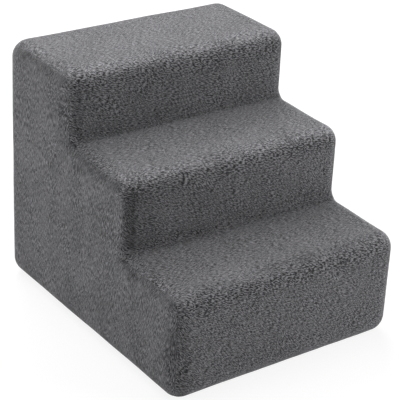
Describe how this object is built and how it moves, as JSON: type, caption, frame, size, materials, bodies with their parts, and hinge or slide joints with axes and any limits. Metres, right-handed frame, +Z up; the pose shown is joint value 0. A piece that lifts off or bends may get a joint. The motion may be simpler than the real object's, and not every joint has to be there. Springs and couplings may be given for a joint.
{
  "type": "pet stairs",
  "caption": "Foam pet stairs with rounded edges and a removable dark grey plush cover that zips open round the back, on a non-slip base.",
  "frame": {"origin": "on the floor, under the middle of the stairs", "axes": "+Z up; +Y the way a pet climbs, so the lowest riser faces -Y and the zipped back faces +Y; +X to the climber's right"},
  "size_m": [0.38, 0.4514, 0.375],
  "materials": {
    "plush": "dark grey short-pile plush, brushed",
    "firm_foam": "cut firm polyurethane foam",
    "soft_foam": "cut soft comfort foam",
    "base_cloth": "dark plain-woven non-slip base cloth with matt printed rubber dots",
    "zip_tape": "dark grey woven polyester tape",
    "zip_coil": "dark grey nylon coil",
    "zip_metal": "satin gunmetal"
  },
  "bodies": {
    "stairs": {"foam_slab_lower": "firm_foam", "foam_slab_middle": "firm_foam", "foam_slab_upper": "firm_foam", "tread_pad_lower": "soft_foam", "tread_pad_middle": "soft_foam", "tread_pad_upper": "soft_foam", "cover_side_left": "plush", "cover_side_right": "plush", "cover_step_lower": "plush", "cover_step_middle": "plush", "cover_step_upper": "plush", "cover_back_surround": "plush", "cover_back_flap": "plush", "base_panel": "base_cloth", "zip_tape_outer": "zip_tape", "zip_tape_inner": "zip_tape", "zip_coil_outer": "zip_coil", "zip_coil_inner": "zip_coil", "zip_stops": "zip_metal", "zip_end_tabs": "zip_tape"},
    "zip_slider": {"zip_slider": "zip_metal"},
    "zip_pull": {"zip_pull_tab": "zip_metal"}
  },
  "joints": [
    {"name": "zip_slider_travel", "type": "slide", "parent": "stairs", "child": "zip_slider", "axis": [0, 0, 1], "range_m": [-0.238, 0]},
    {"name": "zip_pull_swing", "type": "hinge", "parent": "zip_slider", "child": "zip_pull", "pos_m": [0.1485, 0.2256, 0.31515], "axis": [1, 0, 0], "range_deg": [0, 170]}
  ]
}
